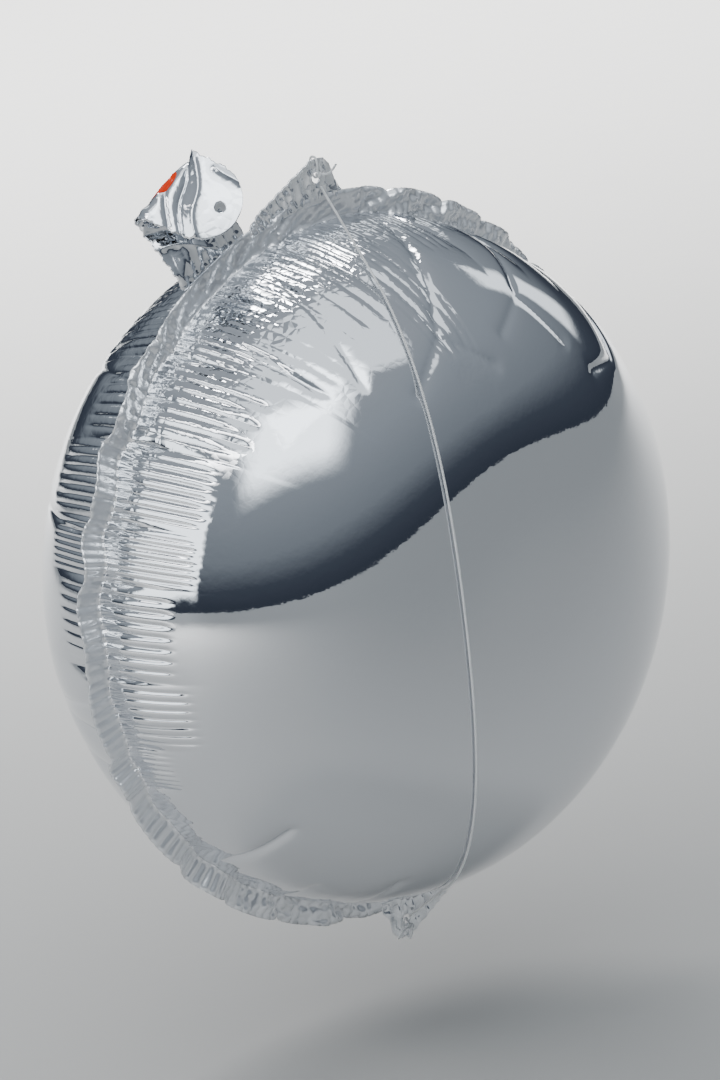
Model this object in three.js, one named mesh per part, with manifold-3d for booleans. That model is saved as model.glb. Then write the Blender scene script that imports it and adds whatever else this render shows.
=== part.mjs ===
// Round foil balloon on a thread: two round film panels sealed at a ruffled seam, two pierced ears,
// a filling tail folded over on itself, and the thread tied from ear to ear over the face.
// Millimetres, +Z up. The front faces -Y. The origin is the hole of the top ear, where it hangs.
import * as THREE from 'three';
import { mergeVertices } from 'three/addons/utils/BufferGeometryUtils.js';
import Module from 'manifold-3d';

const wasm = await Module();
wasm.setup();

// Film panels
const PANEL_RADIUS = 165;
const PANEL_FULLNESS = 1.13;
const SEAM_WIDTH = 8;
const FILM_AT_CROWN = 1.4;
const FILM_AT_SEAM = 1.0;
const SEAM_LAYER = 0.6;
const GAP = 0.3;
const FILM_RINGS = 8;

// Ruffled seam: waves along the rim, and how far each crease is pulled in
const SEAM_WAVES = 28;
const STEPS_PER_WAVE = 4;
const WAVE_DEPTH = 2.4;
const CREASE_PULL = 3.2;
const PULL_REACH = THREE.MathUtils.degToRad(52);
const WAVE_REACH = THREE.MathUtils.degToRad(20);

// Ears
const EAR_RADIUS = 9;
const EAR_HOLE_RADIUS = 2.5;
const EAR_CENTRE_RADIUS = 181;
const EAR_NECK_HALF_WIDTH = 13;
const EAR_THICKNESS = 1.2;
const EAR_ROUND_ANGLE = THREE.MathUtils.degToRad(-12);
const EAR_CURVE_STEPS = 8;

// Filling tail, measured flat from the seam's edge: s along its middle, a across it towards +X
const TAIL_ANGLE = THREE.MathUtils.degToRad(-23);
const TAIL_LENGTH = 81;
const TAIL_ROOT_HALF_WIDTH = 21;
const TAIL_END_HALF_WIDTH = 18;
const TAIL_FILM = 0.4;
const TAIL_HOLE_RADIUS = 2.5;
const TAIL_HOLE_FROM_END = 9;
const TAIL_END_STEPS = 6;
const TAIL_END_ANGLE = THREE.MathUtils.degToRad(80);
const PORT_RADIUS = 8;
const PORT_BLUNT = 0.985;
const SLEEVE_HALF_WIDTH = 12;
const SLEEVE_LENGTH = 64;

// Bends of the tail: where each starts on the tail's middle line, how far its line slants, its
// radius, and its turn in degrees, positive towards the back. It turns back, then folds forward.
const TAIL_BENDS = [
  { at: 14, slant: 31, radius: 8, turn: 40 },
  { at: 36, slant: 12, radius: 4.5, turn: -168 },
];
const BEND_STEPS = 8;

// Thread
const THREAD_RADIUS = 0.6;
const THREAD_SIDES = 8;
const TIE_RING_RADIUS = 5;
const TIE_RING_CENTRE = 5.1;
const KNOT_RADIUS = 1.9;
const KNOT_DEPTH = 5.6;
const KNOT_HEIGHT = 2.2;
const CUT_END_LENGTH = 12;
const FACE_POINTS = 17;
const THREAD_SIDE = THREE.MathUtils.degToRad(23);

// Angles around the rim, from the top towards +X, where the seam lies flat, and half their width
const FLAT_STRETCHES = [
  { at: 0, half: 5 },
  { at: 180, half: 5 },
  { at: -23, half: 8 },
];
const FLAT_FADE = 6;

const rimEdge = PANEL_RADIUS + SEAM_WIDTH;
const seamHalf = GAP / 2 + SEAM_LAYER;
const quarter = Math.PI / 2;

const silver = { color: 0xd5d9de, metalness: 1, roughness: 0.12 };
const backSilver = { color: 0xc9ced6, metalness: 1, roughness: 0.14 };
const sleeveFilm = { color: 0xa9b4c6, metalness: 0.2, roughness: 0.35 };
const orangeInk = { color: 0xf0501c, metalness: 0, roughness: 0.5 };
const paleThread = { color: 0xe4e6e4, metalness: 0, roughness: 0.55 };

function named(name, geometry, finish) {
  const mesh = new THREE.Mesh(geometry, new THREE.MeshStandardMaterial(finish));
  mesh.name = name;
  return mesh;
}

// A closed geometry as a solid for cutting and joining
function toSolid(geometry) {
  const bare = geometry.index ? geometry.clone() : geometry;
  bare.deleteAttribute('normal');
  bare.deleteAttribute('uv');
  const merged = mergeVertices(bare, 1e-4);
  const triangles = [];
  for (let i = 0; i < merged.index.count; i += 3) {
    const corner = [merged.index.getX(i), merged.index.getX(i + 1), merged.index.getX(i + 2)];
    if (new Set(corner).size === 3) triangles.push(...corner);
  }
  return new wasm.Manifold(new wasm.Mesh({
    numProp: 3,
    vertProperties: new Float32Array(merged.attributes.position.array),
    triVerts: new Uint32Array(triangles),
  }));
}

function toGeometry(solid) {
  const mesh = solid.getMesh();
  const geometry = new THREE.BufferGeometry();
  geometry.setAttribute('position', new THREE.BufferAttribute(new Float32Array(mesh.vertProperties), 3));
  geometry.setIndex(new THREE.BufferAttribute(new Uint32Array(mesh.triVerts), 1));
  geometry.computeVertexNormals();
  return geometry;
}

const smooth = (t) => THREE.MathUtils.smoothstep(t, 0, 1);

// The meridian of two flat discs blown up together. With psi the angle between the film's normal
// and the disc plane, the radius is R sqrt(cos psi) and the depth is R/2 times the integral of
// sqrt(cos psi) from the seam. The film gives a little, which makes it somewhat fuller.
function depthAt(psi) {
  const steps = 60;
  let sum = 0;
  for (let i = 0; i < steps; i += 1) sum += Math.sqrt(Math.cos(((i + 0.5) * psi) / steps));
  return (PANEL_FULLNESS * (PANEL_RADIUS / 2) * sum * psi) / steps;
}

function meridianPoint(share) {
  const radius = Math.sin(share * quarter);
  const psi = Math.acos(radius * radius);
  return { psi, radius: PANEL_RADIUS * radius, depth: depthAt(psi) };
}

// Profile of the front panel from its crown out to the seam and back along the inside
function panelProfile() {
  const points = [];
  for (let i = 0; i <= FILM_RINGS; i += 1) {
    const p = meridianPoint(i / FILM_RINGS);
    points.push({ psi: p.psi, radius: p.radius, y: -seamHalf - p.depth });
  }
  points.push({ psi: 0, radius: rimEdge, y: -seamHalf });
  points.push({ psi: 0, radius: rimEdge, y: -GAP / 2 });
  points.push({ psi: 0, radius: PANEL_RADIUS - FILM_AT_SEAM, y: -GAP / 2 });
  for (let i = FILM_RINGS - 1; i >= 0; i -= 1) {
    const p = meridianPoint(i / FILM_RINGS);
    const film = THREE.MathUtils.lerp(FILM_AT_SEAM, FILM_AT_CROWN, p.psi / quarter);
    points.push({
      psi: p.psi,
      radius: i === 0 ? 0 : p.radius - film * Math.cos(p.psi),
      y: -seamHalf - p.depth + film * Math.sin(p.psi),
    });
  }
  return points;
}

// 1 where the seam ruffles freely, 0 where it lies flat at an ear or the tail
function ruffle(angle) {
  let free = 1;
  for (const stretch of FLAT_STRETCHES) {
    const apart = angle - THREE.MathUtils.degToRad(stretch.at);
    const away = THREE.MathUtils.radToDeg(Math.abs(Math.atan2(Math.sin(apart), Math.cos(apart))));
    free *= smooth((away - stretch.half) / FLAT_FADE);
  }
  return free;
}

// side is 1 for the front panel and -1 for the back one
function filmPanel(side) {
  const profile = panelProfile();
  if (side < 0) profile.reverse();
  const outline = profile.map((p) => new THREE.Vector2(p.radius, side * p.y));
  const segments = SEAM_WAVES * STEPS_PER_WAVE;
  const geometry = new THREE.LatheGeometry(outline, segments);
  const position = geometry.attributes.position;
  for (let k = 0; k < position.count; k += 1) {
    const p = profile[k % profile.length];
    const angle = (Math.floor(k / profile.length) / segments) * 2 * Math.PI;
    const wave = Math.sin(SEAM_WAVES * angle);
    const free = ruffle(angle);
    const pulled = CREASE_PULL * (1 - Math.abs(wave)) * free * smooth(1 - p.psi / PULL_REACH);
    const shift = WAVE_DEPTH * wave * free * smooth(1 - p.psi / WAVE_REACH);
    const radius = p.radius - pulled;
    position.setXYZ(k, radius * Math.sin(angle), side * p.y + shift, radius * Math.cos(angle));
  }
  geometry.computeVertexNormals();
  return geometry;
}

// A round ear on a flared neck, with its hole at the origin and its foot on the seam's edge
function ear() {
  const foot = rimEdge + GAP;
  const footAngle = Math.asin(EAR_NECK_HALF_WIDTH / foot);
  const footHeight = foot * Math.cos(footAngle) - EAR_CENTRE_RADIUS;
  const headX = EAR_RADIUS * Math.cos(EAR_ROUND_ANGLE);
  const headZ = EAR_RADIUS * Math.sin(EAR_ROUND_ANGLE);
  const outline = new THREE.Shape();
  outline.moveTo(EAR_NECK_HALF_WIDTH, footHeight);
  outline.quadraticCurveTo(headX, footHeight + 1, headX, headZ);
  outline.absarc(0, 0, EAR_RADIUS, EAR_ROUND_ANGLE, Math.PI - EAR_ROUND_ANGLE, false);
  outline.quadraticCurveTo(-headX, footHeight + 1, -EAR_NECK_HALF_WIDTH, footHeight);
  outline.absarc(0, -EAR_CENTRE_RADIUS, foot, quarter + footAngle, quarter - footAngle, true);
  const hole = new THREE.Path();
  hole.absarc(0, 0, EAR_HOLE_RADIUS, 0, 2 * Math.PI, true);
  outline.holes.push(hole);
  const settings = { depth: EAR_THICKNESS, bevelEnabled: false, curveSegments: EAR_CURVE_STEPS };
  const geometry = new THREE.ExtrudeGeometry(outline, settings);
  geometry.rotateX(quarter);
  geometry.translate(0, EAR_THICKNESS / 2, 0);
  return geometry;
}

// The tail's first direction and the way across it
const outward = new THREE.Vector3(Math.sin(TAIL_ANGLE), 0, Math.cos(TAIL_ANGLE));
const across = new THREE.Vector3(Math.cos(TAIL_ANGLE), 0, -Math.sin(TAIL_ANGLE));
const backwards = new THREE.Vector3(0, 1, 0);

const bends = TAIL_BENDS.map(({ at, slant, radius, turn }) => {
  const tilt = THREE.MathUtils.degToRad(slant);
  const angle = THREE.MathUtils.degToRad(Math.abs(turn));
  return {
    at,
    radius,
    angle,
    side: Math.sign(turn),
    slope: Math.tan(tilt),
    length: (radius * angle) / Math.cos(tilt),
    line: new THREE.Vector3(Math.cos(tilt), Math.sin(tilt), 0),
    onward: new THREE.Vector3(-Math.sin(tilt), Math.cos(tilt), 0),
  };
});

// Where the flat tail's point a, s comes to lie from its root, n being its height off the middle
// of the films on the back side. The last bend is made first, while all before it is still flat.
function tailPoint(a, s, n) {
  const p = new THREE.Vector3(a, s, n);
  for (const bend of [...bends].reverse()) {
    const beyond = a * bend.onward.x + (s - bend.at) * bend.onward.y;
    const turned = THREE.MathUtils.clamp(beyond / bend.radius, 0, bend.angle);
    const axis = new THREE.Vector3(0, bend.at, bend.side * bend.radius);
    p.addScaledVector(bend.onward, -turned * bend.radius).sub(axis);
    p.applyAxisAngle(bend.line, bend.side * turned).add(axis);
  }
  return across.clone().multiplyScalar(p.x).addScaledVector(outward, p.y).addScaledVector(backwards, p.z);
}

// Rows of points across the tail, each at s on the middle line and rising by its slope, close
// together and in line with the bend where it bends
const bendRows = bends.map((bend) => Array.from({ length: BEND_STEPS + 1 }, (_, i) => (
  { s: bend.at + (bend.length * i) / BEND_STEPS, slope: bend.slope }
)));
const endStart = TAIL_LENGTH - TAIL_END_HALF_WIDTH;
const endRows = Array.from({ length: TAIL_END_STEPS + 1 }, (_, i) => {
  const angle = (TAIL_END_ANGLE * i) / TAIL_END_STEPS;
  const s = endStart + TAIL_END_HALF_WIDTH * Math.sin(angle);
  return { s, slope: 0, half: TAIL_END_HALF_WIDTH * Math.cos(angle) };
});

// A thin layer of the tail on the given rows, between the heights n0 and n1
function tailLayer({ rows, n0, n1, halfWidth }) {
  const last = rows.length - 1;
  const geometry = new THREE.BoxGeometry(2, 1, 1, 2, 1, last);
  const position = geometry.attributes.position;
  for (let k = 0; k < position.count; k += 1) {
    const row = rows[Math.round((position.getZ(k) + 0.5) * last)];
    const a = position.getX(k) * (row.half ?? halfWidth(row.s));
    const n = THREE.MathUtils.lerp(n0, n1, position.getY(k) + 0.5);
    const p = tailPoint(a, row.s + a * row.slope, n);
    position.setXYZ(k, p.x, p.y, p.z);
  }
  return geometry;
}

function filmStrip(n0) {
  return toSolid(tailLayer({
    rows: [{ s: 0, slope: 0 }, ...bendRows.flat(), ...endRows],
    n0,
    n1: n0 + TAIL_FILM,
    halfWidth: (s) => THREE.MathUtils.mapLinear(s, 0, endStart, TAIL_ROOT_HALF_WIDTH, TAIL_END_HALF_WIDTH),
  }));
}

// A round patch of a layer over the middle of the fold, bent with it
function portDisc(radius, n0, n1) {
  const bend = bends[1];
  const centre = bend.at + bend.length / 2;
  const reach = radius * PORT_BLUNT;
  return tailLayer({
    rows: [
      { s: centre - reach, slope: bend.slope },
      ...bendRows[1],
      { s: centre + reach, slope: bend.slope },
    ],
    n0,
    n1,
    halfWidth: (s) => Math.sqrt(radius * radius - (s - centre) ** 2),
  });
}

// The tie hole through both films near the tail's end
function endHole() {
  const above = tailPoint(0, TAIL_LENGTH - TAIL_HOLE_FROM_END, -3);
  const below = tailPoint(0, TAIL_LENGTH - TAIL_HOLE_FROM_END, 3);
  const deep = above.distanceTo(below);
  const pin = new THREE.CylinderGeometry(TAIL_HOLE_RADIUS, TAIL_HOLE_RADIUS, deep, 16);
  const way = below.clone().sub(above).normalize();
  pin.applyQuaternion(new THREE.Quaternion().setFromUnitVectors(new THREE.Vector3(0, 1, 0), way));
  pin.translate(...above.add(below).divideScalar(2).toArray());
  return toSolid(pin);
}

function threadAlong(points, steps) {
  const section = new THREE.Shape();
  section.absarc(0, 0, THREAD_RADIUS, 0, 2 * Math.PI, false);
  return new THREE.ExtrudeGeometry(section, {
    steps,
    curveSegments: THREAD_SIDES / 2,
    bevelEnabled: false,
    extrudePath: new THREE.CatmullRomCurve3(points),
  });
}

// The taut thread from the top knot to the bottom one. It lies in an upright plane turned towards
// -X from the front, and runs straight to the film, then over it.
const threadOff = THREAD_RADIUS + GAP;

function faceThread() {
  const sideways = Math.tan(THREAD_SIDE);
  const knotOut = KNOT_DEPTH * Math.cos(THREAD_SIDE);
  const start = { radius: EAR_CENTRE_RADIUS - KNOT_HEIGHT - KNOT_RADIUS, y: -knotOut };
  const half = [new THREE.Vector3(-sideways * knotOut, start.y, start.radius)];
  for (let i = FACE_POINTS; i > 0; i -= 1) {
    const p = meridianPoint(i / FACE_POINTS);
    const radius = p.radius + threadOff * Math.cos(p.psi);
    const y = -seamHalf - p.depth - threadOff * Math.sin(p.psi);
    const x = sideways * y;
    const slack = (start.radius - radius) * Math.cos(p.psi) - (start.y - y) * Math.sin(p.psi);
    if (slack < 0 && Math.abs(x) < radius) {
      half.push(new THREE.Vector3(x, y, Math.sqrt(radius * radius - x * x)));
    }
  }
  const straight = [0.25, 0.5, 0.75].map((share) => half[0].clone().lerp(half[1], share));
  half.splice(1, 0, ...straight);
  const mirrored = half.map((p) => new THREE.Vector3(p.x, p.y, -p.z)).reverse();
  const route = [...half, ...mirrored];
  for (const p of route) p.z -= EAR_CENTRE_RADIUS;
  return threadAlong(route, 72);
}

// The loop through an ear's hole with its knot in front and a short cut end
function earTie() {
  const ring = new THREE.TorusGeometry(TIE_RING_RADIUS, THREAD_RADIUS, THREAD_SIDES, 24);
  ring.rotateY(quarter);
  ring.translate(0, 0, TIE_RING_CENTRE);
  const knot = new THREE.IcosahedronGeometry(KNOT_RADIUS, 1);
  knot.translate(0, -KNOT_DEPTH, KNOT_HEIGHT);
  const cutEnd = threadAlong([
    new THREE.Vector3(0, -KNOT_DEPTH, KNOT_HEIGHT),
    new THREE.Vector3(0.4 * CUT_END_LENGTH, -KNOT_DEPTH - 1.5, KNOT_HEIGHT + 0.5),
    new THREE.Vector3(0.7 * CUT_END_LENGTH, -KNOT_DEPTH - 2, KNOT_HEIGHT + 0.35 * CUT_END_LENGTH),
  ], 5);
  return toGeometry(toSolid(ring).add(toSolid(knot)).add(toSolid(cutEnd)));
}

const group = new THREE.Group();
const centre = new THREE.Group();
centre.position.z = -EAR_CENTRE_RADIUS;
group.add(centre);
centre.add(named('front_panel', filmPanel(1), silver));
centre.add(named('back_panel', filmPanel(-1), backSilver));

for (const { name, turned } of [{ name: 'top', turned: false }, { name: 'bottom', turned: true }]) {
  const end = new THREE.Group();
  end.position.z = turned ? -2 * EAR_CENTRE_RADIUS : 0;
  end.rotation.y = turned ? Math.PI : 0;
  end.add(named(`${name}_ear`, ear(), silver));
  const tie = named(`${name}_tie`, earTie(), paleThread);
  tie.rotation.z = turned ? THREAD_SIDE : -THREAD_SIDE;
  end.add(tie);
  group.add(end);
}

group.add(named('face_thread', faceThread(), paleThread));

const tail = new THREE.Group();
tail.position.z = -EAR_CENTRE_RADIUS;
tail.position.addScaledVector(outward, rimEdge + GAP);
const inside = TAIL_FILM / 2 + GAP;
const outside = inside + TAIL_FILM;
const port = toSolid(portDisc(PORT_RADIUS, inside - GAP / 2, outside + GAP));
tail.add(named('tail_inner_film', toGeometry(filmStrip(-outside).subtract(endHole())), silver));
tail.add(named('tail_outer_film', toGeometry(filmStrip(inside).subtract(endHole()).subtract(port)), silver));
tail.add(named('valve_sleeve', tailLayer({
  rows: [{ s: 0, slope: 0 }, ...bendRows.flat(), { s: SLEEVE_LENGTH, slope: 0 }],
  n0: -TAIL_FILM / 2,
  n1: TAIL_FILM / 2,
  halfWidth: () => SLEEVE_HALF_WIDTH,
}), sleeveFilm));
tail.add(named('valve_mark', portDisc(PORT_RADIUS - GAP, inside, outside), orangeInk));
group.add(tail);

export default group;
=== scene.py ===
import math

import bpy
import numpy as np
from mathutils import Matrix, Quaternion, Vector


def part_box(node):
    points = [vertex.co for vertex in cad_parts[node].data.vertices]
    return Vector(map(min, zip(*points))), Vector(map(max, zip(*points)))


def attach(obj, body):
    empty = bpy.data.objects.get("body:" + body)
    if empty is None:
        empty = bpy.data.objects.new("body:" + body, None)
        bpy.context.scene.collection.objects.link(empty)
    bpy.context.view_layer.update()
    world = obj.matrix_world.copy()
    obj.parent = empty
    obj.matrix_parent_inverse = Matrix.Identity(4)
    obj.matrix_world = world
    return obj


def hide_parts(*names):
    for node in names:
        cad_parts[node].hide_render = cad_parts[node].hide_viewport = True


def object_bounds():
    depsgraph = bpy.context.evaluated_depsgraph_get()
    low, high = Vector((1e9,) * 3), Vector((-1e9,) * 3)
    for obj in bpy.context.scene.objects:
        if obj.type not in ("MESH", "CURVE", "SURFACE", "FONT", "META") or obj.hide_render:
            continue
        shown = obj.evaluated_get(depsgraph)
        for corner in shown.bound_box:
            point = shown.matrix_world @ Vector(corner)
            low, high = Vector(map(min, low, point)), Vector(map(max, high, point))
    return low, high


# Looks of a silver round foil balloon that hangs by its top ear. Film is modelled in millimetres
# about the balloon's centre, with the front towards -Y, and then set into the frame in metres.
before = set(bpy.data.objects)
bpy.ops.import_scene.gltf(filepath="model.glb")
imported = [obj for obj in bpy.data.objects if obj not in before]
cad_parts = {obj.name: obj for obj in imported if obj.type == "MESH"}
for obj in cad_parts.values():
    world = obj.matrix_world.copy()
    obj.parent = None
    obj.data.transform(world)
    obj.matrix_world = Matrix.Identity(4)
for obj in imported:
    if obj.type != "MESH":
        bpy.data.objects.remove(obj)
cad_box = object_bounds()

MM = 0.001
BODY = "root"
panel_low, panel_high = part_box("front_panel")
CENTRE_Z = (panel_low.z + panel_high.z) / 2 / MM
RIM_RADIUS = (panel_high.x - panel_low.x) / 2 / MM
CROWN_DEPTH = -panel_low.y / MM
EAR_RADIUS = -CENTRE_Z
MERIDIAN_STEPS = 1501

# Seam: width of the sealed strip, half the gap between its two films, how far its ribs and gathers
# run on into the film, and the gap that the lip of the outer edge leaves
SEAM_WIDTH = 12.0
SEAM_HALF = 0.3
SEAM_RADIUS = RIM_RADIUS - SEAM_WIDTH
SEAM_FADE = 6.0
LIP_GAP = 0.05

# Ruffle of the seam: height, how far it reaches into the film, and how its height swells
RUFFLE = 2.0
RUFFLE_REACH = 20.0
RUFFLE_SWELLS = 5
RUFFLE_VARIES = 0.25

# Sealed strip: notches at the large creases, ribs beside the pleats, gathers, and a wavy edge
NOTCH = 2.4
NOTCH_WIDTH = 3.2
SEAM_RIBS = 0.8
RIB_EVEN = 0.85
RIB_UNEVEN = 0.3
RIB_BEATS = (17.3, 5.1)
RIBS_WHERE_FLAT = 0.3
GATHER_DEPTH = 7.0
GATHER_LENGTH = 8.0
GATHER_WAVES = 4
GATHER_SEED = 5
GATHERS_WHERE_FLAT = 0.4
EDGE_SCALLOP = 0.4
EDGE_WAVE = 0.7
EDGE_BEAT = 9.1

# Lobes of film between the large creases, fine pleats in each lobe, and mesh steps in each pleat
LOBES = 28
LOBE_SEED = 7
LOBE_UNEVENNESS = 0.24
PLEATS_PER_LOBE = 8
STEPS_PER_PLEAT = 8
FINE_STEPS = LOBES * PLEATS_PER_LOBE * STEPS_PER_PLEAT

# Rings of the mesh: up to this distance from the seam, with this step between them, and with the
# steps round them divided by this; then the first step and the number of rings on the sealed strip
RING_ZONES = [
    {"until": 60.0, "step": 2.5, "split": 1},
    {"until": 115.0, "step": 1.9, "split": 2},
    {"until": 155.0, "step": 2.4, "split": 4},
    {"until": 200.0, "step": 4.0, "split": 8},
    {"until": 214.0, "step": 4.0, "split": 16},
]
FIRST_RING = 1.2
FLANGE_RINGS = 6

# How the film creases round the rim: angle from the top towards +X, length and height of the fine
# pleats, length and depth of the large creases, and how crumpled the film is, from 0 to 1
FRONT_CREASES = [
    (-180, 20, 0.9, 24, 3.2, 0.9),
    (-160, 20, 0.9, 30, 3.6, 0.9),
    (-138, 4, 0.2, 32, 2.5, 0.2),
    (-120, 12, 0.4, 22, 2.0, 0.2),
    (-105, 32, 0.9, 46, 2.6, 0.05),
    (-85, 46, 1.0, 56, 2.8, 0.04),
    (-60, 52, 0.8, 60, 2.6, 0.3),
    (-40, 74, 0.8, 70, 3.0, 0.9),
    (-15, 92, 0.7, 85, 4.0, 1.0),
    (0, 96, 0.6, 90, 4.5, 0.9),
    (14, 40, 0.5, 95, 5.0, 0.7),
    (35, 16, 0.4, 95, 6.0, 0.3),
    (60, 12, 0.4, 84, 4.6, 0.2),
    (85, 20, 0.5, 46, 2.4, 0.2),
    (112, 28, 0.8, 36, 2.2, 0.2),
    (135, 8, 0.3, 24, 2.0, 0.1),
    (160, 8, 0.4, 20, 2.0, 0.4),
    (180, 20, 0.9, 24, 3.2, 0.9),
]
BACK_CREASES = [
    (-180, 20, 0.7, 30, 3.0, 0.5),
    (-140, 40, 0.9, 45, 2.5, 0.2),
    (-100, 18, 0.5, 80, 5.0, 0.2),
    (-60, 45, 1.0, 60, 3.5, 0.4),
    (-20, 60, 0.9, 80, 4.0, 1.0),
    (20, 50, 0.9, 85, 4.5, 0.8),
    (60, 15, 0.4, 90, 5.5, 0.3),
    (100, 40, 1.0, 45, 2.4, 0.2),
    (140, 15, 0.5, 30, 2.4, 0.2),
    (180, 20, 0.7, 30, 3.0, 0.5),
]
FRONT_SEED = 11
BACK_SEED = 12
LOBES_VARY = (0.75, 1.25)

# Fine pleats: how softly they end, where they merge in pairs and how much taller they are then,
# and how they sink beside the large creases
PLEAT_END = 7.0
PLEAT_SHARPNESS = 1.6
MERGE_FROM = 40.0
MERGE_OVER = 16.0
MERGED_HEIGHT = 1.5
GROUP_GAP = 4.0
GROUP_DEPTH = 0.85
GROUP_FROM = 10.0
GROUP_OVER = 14.0
PLEATS_WHERE_FLAT = 0.4

# Large creases: width, how deep they are at the seam and how soon they have their full depth, and
# the small crease in the middle of each lobe
CREASE_WIDTH_AT_SEAM = 3.5
CREASE_WIDENING = 0.09
CREASE_AT_SEAM = 0.35
CREASE_FULL_AT = 12.0
CREASES_WHERE_FLAT = 0.25
MINOR_DEPTH = 0.8
MINOR_LENGTH = 30.0
MINOR_SHARPNESS = 12

# Crumpled film: depth and length of its facets, how far they reach past the pleats, and the slow
# swell of the whole film. Both are calm at the seam.
CRUMPLE_DEPTH = 1.5
CRUMPLE_LENGTH = 19.0
CRUMPLE_START = 1.15
CRUMPLE_PAST_PLEATS = 22
CRUMPLE_AT_SEAM = 0.2
SWELL_DEPTH = 0.25
SWELL_LENGTH = 110.0
CALM_UNTIL = 4.0
CALM_FADE = 30.0

# The waves that a crumple or a swell is added up from: how much their lengths differ, how much a
# ridge bends and turns, and about the mean height of a crumple and of rounded ribs
CRUMPLE_LENGTHS = (0.7, 1.5)
CRUMPLE_BEND = 0.5
CRUMPLE_TURN = 0.8
CRUMPLE_MEAN = 0.64
RIBS_MEAN = 0.6
SWELL_LENGTHS = (0.8, 1.6)
SWELL_WAVES = 6
SWELL_PHASES = 6.3

# Sharp folds across the film, as drawn on the flat disc before it was blown up: angle and distance
# from the seam at both ends, and depth
FRONT_FOLDS = [
    (8, 16, -8, 96, 1.8),
    (-8, 96, -24, 112, 0.9),
    (-8, 96, 4, 120, 0.9),
    (27, 18, 19, 84, 1.5),
    (19, 84, 8, 106, 0.8),
    (19, 84, 31, 106, 0.8),
    (43, 18, 50, 92, 1.7),
    (50, 92, 39, 114, 0.9),
    (-19, 20, -30, 92, 1.0),
    (-33, 20, -36, 78, 0.9),
    (-131, 16, -125, 64, 2.4),
    (-161, 20, -155, 68, 1.8),
    (-147, 14, -143, 44, 0.9),
    (150, 14, 144, 52, 0.9),
    (172, 14, 168, 48, 0.9),
]
BACK_FOLDS = [
    (-12, 16, -4, 92, 1.8),
    (-4, 92, 12, 112, 0.9),
    (-4, 92, -16, 110, 0.8),
    (26, 18, 34, 96, 1.4),
    (34, 96, 24, 116, 0.8),
    (58, 16, 50, 84, 1.3),
    (78, 18, 86, 72, 1.0),
    (118, 16, 122, 60, 1.0),
    (150, 16, 158, 66, 1.4),
    (-44, 16, -36, 90, 1.4),
    (-36, 90, -46, 108, 0.8),
    (-70, 18, -64, 88, 1.1),
    (-98, 16, -104, 70, 1.2),
    (-140, 16, -132, 58, 1.2),
    (-168, 16, -174, 62, 1.2),
]

# Width of the folds, and how they fade towards their ends
FOLD_WIDTH = 2.6
FOLD_END = 0.4
FOLD_GROWTH = 5

# How tightly the sealed strip is gathered round the rim: angle, and amount from 0 to 1
SEAM_GATHERS = [
    (-180, 1.0),
    (-150, 0.9),
    (-136, 0.04),
    (-60, 0.03),
    (-44, 0.6),
    (-10, 0.8),
    (14, 0.8),
    (60, 0.6),
    (140, 0.3),
    (165, 0.9),
    (180, 1.0),
]

# Angles round the rim where the seam lies flat, half their width, and how softly they end
FLAT_STRETCHES = [(0, 5), (180, 5), (-23, 8)]
FLAT_FADE = 6.0

# Filling tail, measured flat in millimetres, as in its solids
TAIL_ANGLE = -23.0
TAIL_LENGTH = 81.0
TAIL_ROOT_HALF = 21.0
TAIL_ROOT_IN = 0.5
TAIL_END_HALF = 18.0
TAIL_BENDS = [
    {"at": 14.0, "slant": 31.0, "radius": 8.0, "turn": 40.0},
    {"at": 36.0, "slant": 12.0, "radius": 4.5, "turn": -168.0},
]
TAIL_HOLE_RADIUS = 2.5
TAIL_HOLE_FROM_END = 9.0
TAIL_GRID = (170, 72)
TAIL_TIP_GAP = 0.05
TAIL_CROWDING = 1.25

# Layers of the tail, each from one height to another off the middle between its films
INNER_LAYER = (-0.75, -0.5)
SLEEVE_LAYER = (-0.15, 0.15)
OUTER_LAYER = (0.5, 0.9)
MARK_LAYER = (0.92, 0.98)

# Frayed sides of the tail: depth of the long and the short waves, and how they fade at both ends
FRAY_LONG = 0.35
FRAY_SHORT = 0.25
FRAY_FADE = 10
FRAY_TIP = 6

# Orange mark and filling sleeve
MARK_HALF_LENGTH = 8.0
MARK_HALF_WIDTH = 4.6
MARK_GRID = (24, 72)
MARK_MIDDLE = 0.02
SLEEVE_START = 0.5
SLEEVE_END = 64
SLEEVE_HALF_WIDTH = 12
SLEEVE_GRID = (90, 24)

# Creases of the tail, on the flat tail: across and along at both ends, height and width
TAIL_FOLDS = [
    (17, 45, -18, 62, -2.6, 2.4),
    (18, 51, -15, 68, 1.6, 2.0),
    (4, 44, -17, 54, -1.6, 1.6),
    (12, 40, -8, 47, 1.2, 1.6),
    (17, 64, 13, 76, 1.1, 1.8),
    (-20, 30, 20, 8, 1.8, 2.0),
    (-18, 20, 8, 4, -1.6, 2.0),
    (-12, 34, 19, 20, 1.3, 1.8),
]

# Crumples of the tail and of the corner at its fold, ribs near its root, and how far the creases
# sway across and along
TAIL_CRUMPLE = {"height": 1.6, "length": 22.0, "seed": 31, "waves": 5}
TAIL_CORNER = {"height": 5.0, "length": 8.0, "seed": 32, "waves": 6}
CORNER_AT = (-15, 34)
CORNER_SIZE = (7, 9)
TAIL_SWAY = (1.3, 1.6)
TAIL_CALM_ROOT = 14
TAIL_RIBS = 1.3
TAIL_RIBS_START = 3
TAIL_RIBS_END = 24

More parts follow.
